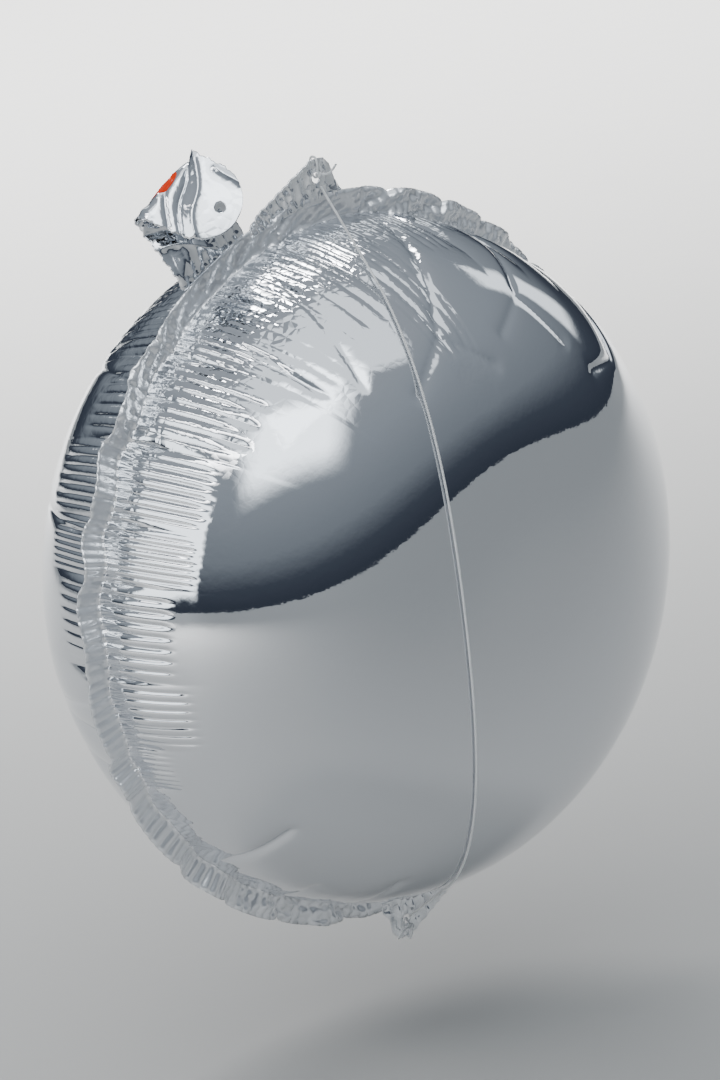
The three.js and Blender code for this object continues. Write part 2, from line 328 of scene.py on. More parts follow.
# Ears: outline of the tab's top from left to right, from the centre of its tie hole
EAR_OUTLINE = [
    (-44.0, -14.0),
    (-38.0, -8.0),
    (-24.0, -1.0),
    (-10.0, 5.5),
    (-3.0, 8.6),
    (4.0, 8.2),
    (8.5, 4.5),
    (10.5, -3.0),
    (15.0, -8.5),
]
EAR_GRID = (44, 150)
EAR_OVERLAP = 4.0
EAR_HALF = 0.4
EAR_HOLE_RADIUS = 2.5
TOP_EAR_SEED = 41
BOTTOM_EAR_SEED = 42

# Gathers of the ears: how far the tab leans and where that fades, spacing and height of its
# pleats and how they fan out, height and length of its crumples, and how calm its edge and hole are
EAR_LEAN = 1.5
EAR_LEAN_FADES = (20, 12)
EAR_PLEAT = 5.0
EAR_PLEAT_HEIGHT = 2.2
EAR_FAN = 0.012
EAR_FAN_FROM = 12
EAR_CRUMPLE = {"height": 1.6, "length": 7.0, "waves": 5}
EAR_RISE = 2.2
EAR_TOP_CALM = 0.45
EAR_TOP_FADE = 3
EAR_HOLE_CALM = 0.3
EAR_HOLE_FADE = 3

# Thread: its own radius, how far its middle lies off the film, the turn of its plane, where its
# knots stand before and beyond the ear's hole, and the steps of its mesh
THREAD_RADIUS = 0.55
THREAD_OFF = 0.9
THREAD_SIDE = math.radians(23)
KNOT_DEPTH = 5.6
KNOT_HEIGHT = 2.2
THREAD_BELOW_KNOT = 1.2
THREAD_EVERY = 10
THREAD_STEPS = 3
THREAD_SIDES = 10

# Ties: half the loop's depth and height, its middle, how it wavers, size of the knot, and the cut
# end as steps away from the knot
LOOP_HALF = (4.6, 4.8)
LOOP_MIDDLE = 4.9
LOOP_WAVER = 0.25
LOOP_STEPS = 64
KNOT_SIZE = (0.42, 0.5, 0.55)
KNOT_IN = 0.5
KNOT_STEPS = 96
CUT_END = [(0.4, 0, 0), (4.4, -1.4, 0.3), (8.0, -1.8, 3.8)]
CUT_END_STEPS = 8
TIE_SIDES = 8

# The photograph's viewing direction, and the roll that leans the balloon's top to the left
VIEW_AZIMUTH = math.radians(-43)
VIEW_ELEVATION = math.radians(17)
VIEW_ROLL = math.radians(7)
LENS = 135.0
VIEW_HEIGHT = 0.50
VIEW_REACH = 60

FLOOR_DROP = 0.05
FLOOR_HALF = 30.0
FLOOR_TONE = (0.385, 0.38, 0.37)

# Lamps that hang over the floor and point straight down
LAMPS = [
    {"name": "floor_left", "place": (-2.3, 0.3, 1.6), "size": (1.8, 1.8), "power": 60, "spread": 100},
    {"name": "floor_behind", "place": (2.1, 2.4, 2.2), "size": (3.6, 3.4), "power": 280, "spread": 72},
]

# Studio: shades by height of view, sine of the angle above the floor, and lit panels round it,
# with half their width and height and half the width of their soft edge
ROOM_SHADES = [
    (0.0, (0.036, 0.044, 0.062)),
    (0.1, (0.055, 0.066, 0.088)),
    (0.24, (0.2, 0.225, 0.255)),
    (0.55, (0.3, 0.335, 0.375)),
    (0.95, (0.4, 0.435, 0.48)),
]
PANELS = [
    {"towards": (-0.38, -0.5, 0.77), "wide": 0.34, "high": 0.24, "edge": 0.11, "brightness": 2.9},
    {"towards": (-0.02, -0.24, 0.94), "wide": 0.42, "high": 0.36, "edge": 0.035, "brightness": 1.0},
    {"towards": (-0.95, 0.22, 0.34), "wide": 0.32, "high": 0.25, "edge": 0.035, "brightness": 2.6},
    {"towards": (0.95, 0.1, 0.36), "wide": 0.1, "high": 0.2, "edge": 0.035, "brightness": 1.4},
    {"towards": (0.5, 0.75, 0.55), "wide": 0.3, "high": 0.1, "edge": 0.035, "brightness": 1.2},
]
PANEL_LIGHT = (0.91, 0.965, 1)
PANEL_SIDE_FADE = (0.2, 0.3)


def smooth(t):
    t = np.clip(t, 0, 1)
    return t * t * (3 - 2 * t)


def at_least(low, amount):
    """A share that grows from low to 1 as the amount grows from 0 to 1."""
    return low + (1 - low) * amount


def wrapped(angle):
    """The same angle, between minus and plus half a turn."""
    return np.angle(np.exp(1j * angle))


def off_line(points, first, last):
    """How far points lie off the line between two ends, and their place along it, from 0 to 1."""
    line = last - first
    place = (points - first) / line
    beyond = np.abs(place.real - np.clip(place.real, 0, 1))
    return np.hypot(place.imag, beyond) * abs(line), place.real


# The balloon's form without creases

def meridian():
    """Distance along the film from the seam, with radius, depth and normal of the film there."""
    share = np.linspace(1, 0, MERIDIAN_STEPS)
    radius = np.sin(share * np.pi / 2)
    psi = np.arccos(radius**2)
    root = np.sqrt(np.cos(psi))
    depth = np.concatenate([[0], np.cumsum((root[1:] + root[:-1]) / 2 * np.diff(psi))])
    radius = radius * SEAM_RADIUS
    depth = SEAM_HALF + depth / depth[-1] * (CROWN_DEPTH - SEAM_HALF)
    along = np.concatenate([[0], np.cumsum(np.hypot(np.diff(radius), np.diff(depth)))])
    slope_r = np.gradient(radius, along)
    slope_d = np.gradient(depth, along)
    length = np.hypot(slope_r, slope_d)
    return along, radius, depth, slope_d / length, -slope_r / length


MERIDIAN = meridian()
FILM_LENGTH = MERIDIAN[0][-1]


def on_meridian(s):
    along = MERIDIAN[0]
    return [np.interp(s, along, column) for column in MERIDIAN[1:]]


# Creases and pleats

def lobe_edges():
    """Angles of the large creases, which stand at slightly uneven steps round the rim."""
    vary = np.random.default_rng(LOBE_SEED).uniform(-LOBE_UNEVENNESS, LOBE_UNEVENNESS, LOBES)
    edges = (np.arange(LOBES) + vary) / LOBES * 2 * np.pi
    edges[0] = 0
    return edges


LOBE_EDGES = lobe_edges()


def lobe_place(angle):
    """How many lobes lie before this angle, as a number that grows steadily."""
    turn = np.mod(angle, 2 * np.pi)
    edges = np.append(LOBE_EDGES, 2 * np.pi)
    return np.interp(turn, edges, np.arange(LOBES + 1))


def lobe_gap(place, radius):
    """Distance along a circle of this radius from the nearest large crease."""
    return np.abs(place - np.round(place)) * 2 * np.pi / LOBES * radius


def free_ruffle(angle):
    """How freely the seam ruffles, from 0 where it lies flat to 1."""
    free = np.ones_like(angle)
    for at, half in FLAT_STRETCHES:
        away = np.degrees(np.abs(wrapped(angle - math.radians(at))))
        free = free * smooth((away - half) / FLAT_FADE)
    return free


def crumple(x, y, z, wavelength, seed, waves=7):
    """A crumpled height field from 0 to 1: the ridges of waves in several directions."""
    draw = np.random.default_rng(seed)
    total = 0
    for _ in range(waves):
        way = draw.normal(size=3)
        way /= np.linalg.norm(way) * wavelength * draw.uniform(*CRUMPLE_LENGTHS)
        bent = draw.normal(size=3) / wavelength * CRUMPLE_BEND
        phase = draw.uniform(0, 2 * np.pi)
        turned = CRUMPLE_TURN * np.sin(x * bent[0] + y * bent[1] + z * bent[2] + phase)
        total = total + np.abs(np.sin(np.pi * (x * way[0] + y * way[1] + z * way[2]) + phase + turned))
    return total / waves


def flat_crumple(x, y, height, length, seed, waves):
    """Crumples of a flat film, above and below its middle."""
    return height * (crumple(x, y, 0 * x, length, seed, waves) - CRUMPLE_MEAN)


def swell(x, y, z, wavelength, seed):
    """A slow swell between about minus and plus a half."""
    draw = np.random.default_rng(seed)
    total = 0
    for _ in range(SWELL_WAVES):
        way = draw.normal(size=3)
        way *= 2 * np.pi / (np.linalg.norm(way) * wavelength * draw.uniform(*SWELL_LENGTHS))
        total = total + np.sin(x * way[0] + y * way[1] + z * way[2] + draw.uniform(0, SWELL_PHASES))
    return total / SWELL_WAVES


def fold_lines(angle, s, folds):
    """Depth of the sharp folds, each a straight line on the film before it was blown up."""
    points = (FILM_LENGTH - s) * np.exp(1j * angle)
    deep = np.zeros_like(s)
    for first_angle, first_s, last_angle, last_s, depth in folds:
        first = (FILM_LENGTH - first_s) * np.exp(1j * math.radians(first_angle))
        last = (FILM_LENGTH - last_s) * np.exp(1j * math.radians(last_angle))
        off, place = off_line(points, first, last)
        fade = smooth(np.minimum(place, 1 - place) * FOLD_GROWTH + FOLD_END)
        deep = deep + depth * fade * np.exp(-off / FOLD_WIDTH)
    return deep


def crease_table(rows, seed):
    """Values of the table at each lobe's first edge and at each lobe's middle, a little varied."""
    angles, pleat_length, pleat_height, crease_length, crease_depth, crumpled = np.transpose(rows)
    edges = np.degrees(wrapped(LOBE_EDGES))
    next_edges = np.append(LOBE_EDGES[1:], 2 * np.pi)
    middles = np.degrees(wrapped((LOBE_EDGES + next_edges) / 2))
    vary = np.random.default_rng(seed).uniform(*LOBES_VARY, (4, LOBES))
    return {
        "pleat_length": np.interp(middles, angles, pleat_length) * vary[0],
        "pleat_height": np.interp(middles, angles, pleat_height) * vary[1],
        "crease_length": np.interp(edges, angles, crease_length) * vary[2],
        "crease_depth": np.interp(edges, angles, crease_depth) * vary[3],
        "crumpled": (angles, crumpled),
    }


def ridges(place, pleats):
    """Sharp ridges from 0 to 1, this many in each lobe."""
    return (1 - np.abs(np.sin(np.pi * pleats * place))) ** PLEAT_SHARPNESS


def pleat_relief(place, lobe, s, radius, creases):
    """Height of the fine pleats, which merge in pairs away from the seam."""
    shown = smooth((creases["pleat_length"][lobe] - s) / PLEAT_END)
    beside = np.exp(-((lobe_gap(place, radius) / GROUP_GAP) ** 2))
    grouped = 1 - GROUP_DEPTH * beside * smooth((s - GROUP_FROM) / GROUP_OVER)
    merge = smooth((s - MERGE_FROM) / MERGE_OVER)
    fine = ridges(place, PLEATS_PER_LOBE) * (1 - merge)
    coarse = ridges(place, PLEATS_PER_LOBE / 2) * merge
    return creases["pleat_height"][lobe] * shown * grouped * (fine + MERGED_HEIGHT * coarse)


def crease_relief(angle, place, lobe, s, radius, creases):
    """Depth of the large creases, and of the small one in the middle of each lobe."""
    wide = CREASE_WIDTH_AT_SEAM + CREASE_WIDENING * s
    grown = at_least(CREASE_AT_SEAM, smooth(s / CREASE_FULL_AT))
    off_middle = np.abs(place - lobe - 0.5)
    deep = MINOR_DEPTH * smooth(1 - s / MINOR_LENGTH) * np.exp(-off_middle * MINOR_SHARPNESS)
    for edge, reach, depth in zip(LOBE_EDGES, creases["crease_length"], creases["crease_depth"]):
        away = np.abs(wrapped(angle - edge)) * radius
        deep = deep + depth * smooth(1 - s / reach) * grown * np.exp(-away / wide)
    return deep


def film_relief(angle, s, radius, creases):
    """How far pleats and creases lie inside the film's smooth form, and how crumpled it is."""
    place = lobe_place(angle)
    lobe = np.minimum(place.astype(int), LOBES - 1)
    free = free_ruffle(angle)
    pleats = pleat_relief(place, lobe, s, radius, creases) * at_least(PLEATS_WHERE_FLAT, free)
    large = crease_relief(angle, place, lobe, s, radius, creases) * at_least(CREASES_WHERE_FLAT, free)
    rough = np.interp(np.degrees(wrapped(angle)), *creases["crumpled"])
    rough = rough * smooth(CRUMPLE_START - s / (creases["pleat_length"][lobe] + CRUMPLE_PAST_PLEATS))
    return pleats + large, rough


def seam_relief(angle, s):
    """How far the seam stands towards the front, and how far the strip's edge is drawn in."""
    place, free = lobe_place(angle), free_ruffle(angle)
    tall = 1 - RUFFLE_VARIES + RUFFLE_VARIES * np.sin(angle * RUFFLE_SWELLS + 1)
    ruffle = RUFFLE * tall * np.sin(2 * np.pi * place) * free
    shift = ruffle * np.exp(-((np.maximum(s, 0) / RUFFLE_REACH) ** 2))

    on_seam = smooth((SEAM_FADE - s) / SEAM_FADE)
    ribs = np.abs(np.sin(np.pi * PLEATS_PER_LOBE * place)) - RIBS_MEAN
    uneven = RIB_EVEN + RIB_UNEVEN * np.sin(place * RIB_BEATS[0]) * np.sin(place * RIB_BEATS[1] + 2)
    shift = shift + SEAM_RIBS * ribs * uneven * on_seam * at_least(RIBS_WHERE_FLAT, free)

    tight = np.interp(np.degrees(wrapped(angle)), *np.transpose(SEAM_GATHERS))
    rim_x, rim_z = SEAM_RADIUS * np.sin(angle), SEAM_RADIUS * np.cos(angle)
    bunched = crumple(rim_x, np.minimum(s, 0), rim_z, GATHER_LENGTH, GATHER_SEED, GATHER_WAVES)
    gathers = GATHER_DEPTH * tight * (bunched - CRUMPLE_MEAN)
    shift = shift + gathers * on_seam * at_least(GATHERS_WHERE_FLAT, free)

    edge = smooth(-s / SEAM_WIDTH)
    notch = NOTCH * np.exp(-lobe_gap(place, SEAM_RADIUS) / NOTCH_WIDTH) * free
    shift = shift + edge * EDGE_WAVE * np.sin(place * EDGE_BEAT + 1.3) * free
    return shift, edge * (notch + EDGE_SCALLOP * np.abs(ribs))


def film_points(side, angle, s, creases, folds, seed):
    """Points of a film panel at the angles and distances from the seam; side 1 is the front."""
    film_s = np.maximum(s, 0)
    radius, depth, out_r, out_d = on_meridian(film_s)
    at = (radius * np.sin(angle), -side * depth, radius * np.cos(angle))
    inward, rough = film_relief(angle, film_s, radius, creases)
    calm = smooth((s - CALM_UNTIL) / CALM_FADE)
    facets = CRUMPLE_DEPTH * (1 - crumple(*at, CRUMPLE_LENGTH, seed))
    inward = inward + fold_lines(angle, film_s, folds)
    inward = inward + rough * facets * at_least(CRUMPLE_AT_SEAM, calm)
    inward = inward + SWELL_DEPTH * calm * (1 - swell(*at, SWELL_LENGTH, seed + 1))
    shift, drawn_in = seam_relief(angle, s)
    film = s > 0
    radius = np.where(film, radius - out_r * inward, SEAM_RADIUS - s) - drawn_in
    depth = np.where(film, depth - out_d * inward, SEAM_HALF)
    return np.stack([radius * np.sin(angle), -side * depth - shift, radius * np.cos(angle)], -1), rough


# The film's mesh

def ring_list():
    """Distance of each ring from the seam, and what the steps round it are divided by."""
    rings = [(-SEAM_WIDTH * (1 - i / FLANGE_RINGS), 1) for i in range(FLANGE_RINGS)]
    s = 0.0
    for zone in RING_ZONES:
        while s < zone["until"]:
            rings.append((s, zone["split"]))
            s += zone["step"] if s > 0 else FIRST_RING
    return rings


def ring_points():
    """Angles and distances from the seam of all rings' points, and each ring's start and count."""
    rings = ring_list()
    counts = [FINE_STEPS // split for _, split in rings]
    starts = np.cumsum([0] + counts).tolist()
    angles = np.concatenate([np.arange(count) / count * 2 * np.pi for count in counts])
    distances = np.repeat([s for s, _ in rings], counts)
    return angles, distances, starts, counts


def stitch(outer, outer_count, inner, inner_count):
    """Faces between two rings, the inner with as many steps or half as many."""
    i = np.arange(inner_count)
    j = (i + 1) % inner_count
    if outer_count == inner_count:
        return np.stack([outer + i, outer + j, inner + j, inner + i], -1).tolist()
    a, b, c = outer + 2 * i, outer + 2 * i + 1, outer + (2 * i + 2) % outer_count
    return (
        np.stack([a, b, inner + i], -1).tolist()
        + np.stack([b, inner + j, inner + i], -1).tolist()
        + np.stack([b, c, inner + j], -1).tolist()
    )


def film_faces(starts, counts):
    """Faces between the rings, round the crown, and on the lip that closes the outer edge."""
    faces = []
    for k in range(len(counts) - 1):
        faces += stitch(starts[k], counts[k], starts[k + 1], counts[k + 1])
    last, count, crown = starts[-2], counts[-1], starts[-1]
    faces += [[last + i, last + (i + 1) % count, crown] for i in range(count)]
    return faces + stitch(crown + 1, counts[0], 0, counts[0])


def new_piece(name, node, points, faces, material, slot):
    """A mesh from points in millimetres about the balloon's centre, in place of a solid."""
    mesh = bpy.data.meshes.new(name)
    points = np.asarray(points, float) * MM
    points[:, 2] += CENTRE_Z * MM
    mesh.from_pydata(points.tolist(), [], faces)
    mesh.update()
    mesh.polygons.foreach_set("use_smooth", [True] * len(mesh.polygons))
    mesh.materials.append(material)
    piece = bpy.data.objects.new(name, mesh)
    bpy.context.scene.collection.objects.link(piece)
    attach(piece, BODY)
    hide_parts(node)
    return piece


def set_attribute(piece, name, values):
    attribute = piece.data.attributes.new(name, "FLOAT", "POINT")
    attribute.data.foreach_set("value", np.asarray(values, np.float32))


def film_panel(name, node, side, rows, folds, seed, material):
    """One round film from its outer edge to its crown, with masks for its creased and sealed parts."""
    creases = crease_table(rows, seed)
    angles, distances, starts, counts = ring_points()
    points, rough = film_points(side, angles, distances, creases, folds, seed)
    crown, _ = film_points(side, np.zeros(1), np.array([FILM_LENGTH]), creases, folds, seed)
    lip = points[: counts[0]].copy()
    lip[:, 1] += side * (SEAM_HALF - LIP_GAP)
    faces = film_faces(starts, counts)
    if side > 0:
        faces = [face[::-1] for face in faces]
    piece = new_piece(name, node, np.concatenate([points, crown, lip]), faces, material, "silver_film")
    set_attribute(piece, "crumpled", np.concatenate([rough, [0], rough[: counts[0]]]))
    set_attribute(piece, "sealed", np.concatenate([distances <= 0, [0], np.ones(counts[0])]))


# Materials

# Film: how much its finish varies, and its tone, added roughness and metal share where it is sealed
FINISH_RANGE = (0.6, 1.8)
SEALED_TONE = (0.94, 0.955, 0.975)
SEALED_ROUGHER = 0.14
SEALED_METALLIC = 0.7


def material(name, base, metallic, roughness, specular=0.5):
    made = bpy.data.materials.new(name)
    made.use_nodes = True
    nodes = made.node_tree.nodes
    shader = nodes["Principled BSDF"]
    shader.inputs["Base Color"].default_value = (*base, 1)
    shader.inputs["Metallic"].default_value = metallic
    shader.inputs["Roughness"].default_value = roughness
    shader.inputs["Specular IOR Level"].default_value = specular
    return made, nodes, made.node_tree.links, shader


def ranged(nodes, links, value, low, high):
    node = nodes.new("ShaderNodeMapRange")
    node.inputs["To Min"].default_value = low
    node.inputs["To Max"].default_value = high
    links.new(value, node.inputs["Value"])
    return node.outputs["Result"]


def calculated(nodes, links, operation, *values):
    """A sum, product or the like of sockets and numbers."""
    node = nodes.new("ShaderNodeMath")
    node.operation = operation
    for socket, value in zip(node.inputs, values):
        if isinstance(value, (int, float)):
            socket.default_value = value
        else:
            links.new(value, socket)
    return node.outputs[0]


def texture(nodes, links, kind, scale, **settings):
    node = nodes.new(kind)
    node.inputs["Scale"].default_value = scale
    place = nodes.get("Place") or nodes.new("ShaderNodeTexCoord")
    place.name = "Place"
    links.new(place.outputs["Object"], node.inputs["Vector"])
    for name, value in settings.items():
        if name in node.inputs:
            node.inputs[name].default_value = value
        else:
            setattr(node, name, value)
    return node


def colour_ramp(nodes, links, value, stops):
    """A colour that runs through the stops, each a position and a colour, as the value grows."""
    node = nodes.new("ShaderNodeValToRGB")
    elements = node.color_ramp.elements
    elements[0].position, elements[1].position = stops[0][0], stops[-1][0]
    for position, _ in stops[1:-1]:
        elements.new(position)
    for element, (_, colour) in zip(elements, stops):
        element.color = (*colour, 1)
    links.new(value, node.inputs["Fac"])
    return node.outputs["Color"]


def mask(nodes, name):
    """A value that each point of the mesh carries under this name."""
    node = nodes.new("ShaderNodeAttribute")
    node.attribute_name = name
    return node.outputs["Fac"]


def bump(nodes, links, shader, height, distance):
    """Adds a bump to whatever bump the shader has."""
    node = nodes.new("ShaderNodeBump")
    node.inputs["Distance"].default_value = distance
    links.new(height, node.inputs["Height"])
    before = shader.inputs["Normal"]
    if before.is_linked:
        links.new(before.links[0].from_socket, node.inputs["Normal"])
    links.new(node.outputs["Normal"], shader.inputs["Normal"])


def metallised(name, base, roughness, metallic):
    """Bright film with faint unevenness; gives its finish and its creases to those that build on it."""
    made, nodes, links, shader = material(name, base, metallic, roughness)
    cloudy = texture(nodes, links, "ShaderNodeTexNoise", scale=22.0, Detail=3.0)
    low, high = (roughness * share for share in FINISH_RANGE)
    finish = ranged(nodes, links, cloudy.outputs["Fac"], low, high)
    links.new(finish, shader.inputs["Roughness"])
    peel = texture(nodes, links, "ShaderNodeTexNoise", scale=240.0, Detail=2.0)
    bump(nodes, links, shader, peel.outputs["Fac"], distance=0.00002)
    kind = "ShaderNodeTexVoronoi"
    creases = texture(nodes, links, kind, scale=190.0, feature="DISTANCE_TO_EDGE", Randomness=1.0)
    return made, nodes, links, shader, finish, creases.outputs["Distance"]


def panel_film(name, base, roughness):
    """Film of a round panel: a mirror, creased where it is crumpled, paler and duller where sealed."""
    made, nodes, links, shader, finish, creases = metallised(name, base, roughness, 1.0)
    sealed = mask(nodes, "sealed")
    pressed = calculated(nodes, links, "MULTIPLY", sealed, SEALED_ROUGHER)
    links.new(calculated(nodes, links, "ADD", finish, pressed), shader.inputs["Roughness"])
    links.new(ranged(nodes, links, sealed, 1.0, SEALED_METALLIC), shader.inputs["Metallic"])
    tones = [(0.0, base), (1.0, SEALED_TONE)]
    links.new(colour_ramp(nodes, links, sealed, tones), shader.inputs["Base Color"])
    height = calculated(nodes, links, "MULTIPLY", creases, mask(nodes, "crumpled"))
    bump(nodes, links, shader, height, distance=0.0004)
    return made


def sealed_film(name, base, roughness, metallic):
    """Film of the tail and the ears, creased all over."""
    made, nodes, links, shader, _, creases = metallised(name, base, roughness, metallic)
    bump(nodes, links, shader, creases, distance=0.0002)
    return made


def thread_material():
    made, nodes, links, shader = material("thread", (0.95, 0.96, 0.96), 0.0, 0.45)
    shader.inputs["Sheen Weight"].default_value = 0.4
    kind = "ShaderNodeTexWave"
    fibre = texture(nodes, links, kind, scale=900.0, bands_direction="DIAGONAL", Distortion=2.0)
    bump(nodes, links, shader, fibre.outputs["Fac"], distance=0.0002)
    return made


def ink_material():
    made, nodes, links, shader = material("orange_ink", (0.72, 0.035, 0.0), 0.0, 0.5, 0.1)
    patch = texture(nodes, links, "ShaderNodeTexNoise", scale=160.0, Detail=4.0).outputs["Fac"]
    tones = [(0.0, (0.6, 0.02, 0.0)), (1.0, (0.82, 0.045, 0.0))]
    links.new(colour_ramp(nodes, links, patch, tones), shader.inputs["Base Color"])
    bump(nodes, links, shader, patch, distance=0.0004)
    return made


def plastic_material():
    made, nodes, links, shader = material("valve_plastic", (0.5, 0.56, 0.66), 0.0, 0.3)
    shader.inputs["Transmission Weight"].default_value = 0.4
    haze = texture(nodes, links, "ShaderNodeTexNoise", scale=120.0, Detail=3.0).outputs["Fac"]
    links.new(ranged(nodes, links, haze, 0.2, 0.45), shader.inputs["Roughness"])
    bump(nodes, links, shader, haze, distance=0.0004)
    return made


FRONT_FILM = panel_film("silver_film_front", (0.77, 0.79, 0.82), 0.03)
BACK_FILM = panel_film("silver_film_back", (0.76, 0.785, 0.82), 0.035)
TAIL_FILM = sealed_film("sealed_film", (0.84, 0.86, 0.89), 0.06, 1.0)
EAR_FILM = sealed_film("sealed_film_of_ears", SEALED_TONE, 0.08, 0.85)
THREAD = thread_material()
INK = ink_material()
PLASTIC = plastic_material()


# Thin solids

def grid_quads(rows, columns, closed=False):
    index = np.arange(rows * columns).reshape(rows, columns)
    if closed:
        index = np.concatenate([index, index[:, :1]], 1)
    return np.stack([index[:-1, :-1], index[:-1, 1:], index[1:, 1:], index[1:, :-1]], -1).reshape(-1, 4)


def open_hole(a, s, quads, centre, radius):
    """Leaves out the quads within a round hole and draws the ones beside it to its edge."""
    away = np.hypot(a - centre[0], s - centre[1])
    within = away[quads].mean(1) < radius
    edge = np.intersect1d(quads[within], quads[~within])
    pull = radius / away[edge]
    a[edge] = centre[0] + (a[edge] - centre[0]) * pull
    s[edge] = centre[1] + (s[edge] - centre[1]) * pull
    return quads[~within]


def sheet_solid(top, bottom, quads):
    """A thin closed solid between two sheets with the same quads, walled along every free edge."""
    count = len(top)
    edges = np.concatenate([quads[:, [k, (k + 1) % 4]] for k in range(4)])
    code = edges[:, 0] * count + edges[:, 1]
    free = edges[~np.isin(edges[:, 1] * count + edges[:, 0], code)]
    walls = np.stack([free[:, 1], free[:, 0], free[:, 0] + count, free[:, 1] + count], -1)
    faces = np.concatenate([quads, quads[:, ::-1] + count, walls])
    used, faces = np.unique(faces, return_inverse=True)
    return np.concatenate([top, bottom])[used], faces.reshape(-1, 4).tolist()


# Filling tail

def tail_frame():
    angle = math.radians(TAIL_ANGLE)
    outward = np.array([math.sin(angle), 0, math.cos(angle)])
    across = np.array([math.cos(angle), 0, -math.sin(angle)])
    return outward * (RIM_RADIUS - TAIL_ROOT_IN), across, outward, np.array([0, 1.0, 0])


def turned_about(points, axis, angle):
    """Points turned about an axis through the origin, each by its own angle."""
    cos, sin = np.cos(angle)[:, None], np.sin(angle)[:, None]
    along = (points @ axis)[:, None] * axis
    return points * cos + np.cross(axis, points) * sin + along * (1 - cos)


def tail_points(a, s, n):
    """Where the flat tail's points come to lie: a across, s along, n off the middle of its films."""
    points = np.stack([a, s, n], -1).astype(float)
    for bend in reversed(TAIL_BENDS):
        slant, side = math.radians(bend["slant"]), math.copysign(1, bend["turn"])
        line = np.array([math.cos(slant), math.sin(slant), 0])
        onward = np.array([-math.sin(slant), math.cos(slant), 0])
        beyond = a * onward[0] + (s - bend["at"]) * onward[1]
        turned = np.clip(beyond / bend["radius"], 0, math.radians(abs(bend["turn"])))
        axis = np.array([0, bend["at"], side * bend["radius"]])
        points = points - turned[:, None] * bend["radius"] * onward - axis
        points = turned_about(points, line, side * turned) + axis
    root, across, outward, back = tail_frame()
    return root + points[:, :1] * across + points[:, 1:2] * outward + points[:, 2:] * back


def tail_relief(a, s):
    """Height of the creased tail off its smooth form, calm at its root."""
    relief = flat_crumple(a, s, **TAIL_CRUMPLE)
    sway_a = TAIL_SWAY[0] * np.sin(s * 0.21 + 1)
    sway_s = TAIL_SWAY[1] * np.sin(a * 0.23 + s * 0.06)
    a, s = a + sway_a, s + sway_s
    for first_a, first_s, last_a, last_s, height, width in TAIL_FOLDS:
        off, _ = off_line(a + 1j * s, complex(first_a, first_s), complex(last_a, last_s))
        relief = relief + height * np.exp(-off / width)
    across, along = (a - CORNER_AT[0]) / CORNER_SIZE[0], (s - CORNER_AT[1]) / CORNER_SIZE[1]
    relief = relief + np.exp(-(across**2) - along**2) * flat_crumple(a, s, **TAIL_CORNER)
    ribs = np.abs(np.sin(a * 0.55 + 0.4 * np.sin(s * 0.16))) - RIBS_MEAN
    ribbed = TAIL_RIBS * ribs * smooth(s / TAIL_RIBS_START) * smooth(1 - s / TAIL_RIBS_END)
    return smooth(s / TAIL_CALM_ROOT) * relief + ribbed


def tail_layer(name, node, a, s, quads, layer, material, slot):
    """A thin piece that lies in the creased tail, in the given layer."""
    relief = tail_relief(a, s)
    sheets = [tail_points(a, s, relief + height) for height in layer]
    new_piece(name, node, *sheet_solid(*sheets, quads), material, slot)


def tail_half_width(s):
    straight = np.interp(s, [0, TAIL_LENGTH - TAIL_END_HALF], [TAIL_ROOT_HALF, TAIL_END_HALF])
    past = np.clip((s - TAIL_LENGTH + TAIL_END_HALF) / TAIL_END_HALF, 0, 1)
    return straight * np.sqrt(np.clip(1 - past**2, 0, 1))


def tail_film(name, node, layer):
    """One film of the tail, open at its tie hole."""
    rows, columns = TAIL_GRID
    s = (TAIL_LENGTH - TAIL_TIP_GAP) * (1 - (1 - np.linspace(0, 1, rows)) ** TAIL_CROWDING)
    s, u = np.meshgrid(s, np.linspace(-1, 1, columns), indexing="ij")
    frayed = FRAY_LONG * np.sin(s * 0.9) + FRAY_SHORT * np.sin(s * 2.3 + 1)
    frayed = frayed * smooth(s / FRAY_FADE) * smooth((TAIL_LENGTH - FRAY_TIP - s) / FRAY_FADE)
    a, s = (u * (tail_half_width(s) + frayed)).ravel(), s.ravel()
    hole = (0, TAIL_LENGTH - TAIL_HOLE_FROM_END)
    quads = open_hole(a, s, grid_quads(rows, columns), hole, TAIL_HOLE_RADIUS)
    tail_layer(name, node, a, s, quads, layer, TAIL_FILM, "sealed_film")


def tail_mark():
    """The orange patch over the fold, bent and creased with the film."""
    bend = TAIL_BENDS[1]
    slant = math.radians(bend["slant"])
    length = bend["radius"] * math.radians(abs(bend["turn"])) / math.cos(slant)
    rows, columns = MARK_GRID
    turn = np.arange(columns) / columns * 2 * np.pi
    reach, angle = np.meshgrid(np.linspace(MARK_MIDDLE, 1, rows), turn, indexing="ij")
    reach, angle = reach.ravel(), angle.ravel()
    a = MARK_HALF_LENGTH * reach * np.cos(angle)
    s = bend["at"] + length / 2 + MARK_HALF_WIDTH * reach * np.sin(angle) + a * math.tan(slant)
    quads = grid_quads(rows, columns, closed=True)
    tail_layer("orange_mark", "valve_mark", a, s, quads, MARK_LAYER, INK, "orange_ink")


def tail_sleeve():
    """The flat plastic sleeve between the tail's films."""
    rows, columns = SLEEVE_GRID
    s = np.linspace(SLEEVE_START, SLEEVE_END, rows)
    s, a = np.meshgrid(s, np.linspace(-SLEEVE_HALF_WIDTH, SLEEVE_HALF_WIDTH, columns), indexing="ij")
    a, s = a.ravel(), s.ravel()
    quads = grid_quads(rows, columns)
    tail_layer("filling_sleeve", "valve_sleeve", a, s, quads, SLEEVE_LAYER, PLASTIC, "valve_plastic")


# Ears

